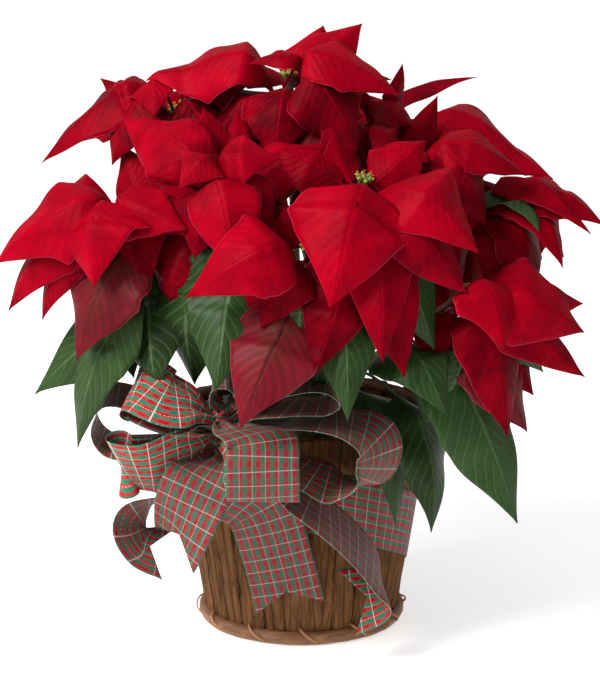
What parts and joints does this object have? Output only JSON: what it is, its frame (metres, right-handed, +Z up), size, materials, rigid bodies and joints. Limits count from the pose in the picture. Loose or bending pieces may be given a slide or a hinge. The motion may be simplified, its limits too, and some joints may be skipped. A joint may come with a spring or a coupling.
{
  "type": "potted poinsettia",
  "caption": "Flowering poinsettia in its nursery pot, set in a round bark basket that wears a plaid ribbon band and bow.",
  "frame": {"origin": "centre of the basket's foot, on the surface it stands on", "axes": "+Z up, -Y towards the side that wears the bow, +X to the viewer's right when facing the bow"},
  "size_m": [0.4961, 0.4223, 0.5002],
  "materials": {
    "bark": "rough upright strips of bark",
    "board": "plain sawn board",
    "hoop": "peeled cane",
    "liner": "thin clear-white film",
    "pot": "moulded dark green plastic",
    "soil": "moist peat soil",
    "ribbon": "stiff woven plaid ribbon",
    "stem": "green to brown plant stem",
    "bract": "soft red bract with veins",
    "green": "dark green leaf with veins",
    "turning": "leaf turning from green to red",
    "cyathium": "small yellow-green flowers"
  },
  "bodies": {
    "root": {"bark_wall": "bark", "base_board": "board", "foot_hoop": "hoop", "liner": "liner", "nursery_pot": "pot", "soil": "soil", "ribbon_band": "ribbon", "bow_knot": "ribbon", "loop_left_upper": "ribbon", "loop_left_outer": "ribbon", "loop_left_lower": "ribbon", "loop_top": "ribbon", "loop_front": "ribbon", "loop_right_lower": "ribbon", "loop_right_upper": "ribbon", "tail_left_curled": "ribbon", "tail_left": "ribbon", "tail_centre": "ribbon", "tail_right": "ribbon", "stems": "stem", "cyathia_top": "cyathium", "cyathia_front_left": "cyathium", "cyathia_front_right": "cyathium", "cyathia_left": "cyathium", "cyathia_lower_right": "cyathium", "cyathia_upper_right": "cyathium", "cyathia_right_shoulder": "cyathium", "cyathia_left_shoulder": "cyathium", "cyathia_back_top": "cyathium", "cyathia_far_right": "cyathium", "cyathia_back_left": "cyathium", "cyathia_back_right": "cyathium", "leaf_back_left": "green", "leaf_back": "green", "leaf_back_right": "green", "leaf_side_left": "green", "leaf_on_bark": "green", "leaf_right_low": "green", "leaf_left_outer": "green", "leaf_left_inner": "green", "leaf_over_bow": "green", "leaf_right_bright": "green", "leaf_front_left": "green", "leaf_front_right": "green", "leaf_turning_right": "turning", "leaf_turning_left": "turning", "leaf_turning_front": "turning", "bracts_top": "bract", "bracts_front_left": "bract", "bracts_front_right": "bract", "bracts_left": "bract", "bracts_lower_right": "bract", "bracts_upper_right": "bract", "bracts_right_shoulder": "bract", "bracts_left_shoulder": "bract", "bracts_back_top": "bract", "bracts_far_right": "bract", "bracts_centre": "bract", "bracts_back_left": "bract", "bracts_back_right": "bract"}
  },
  "joints": []
}
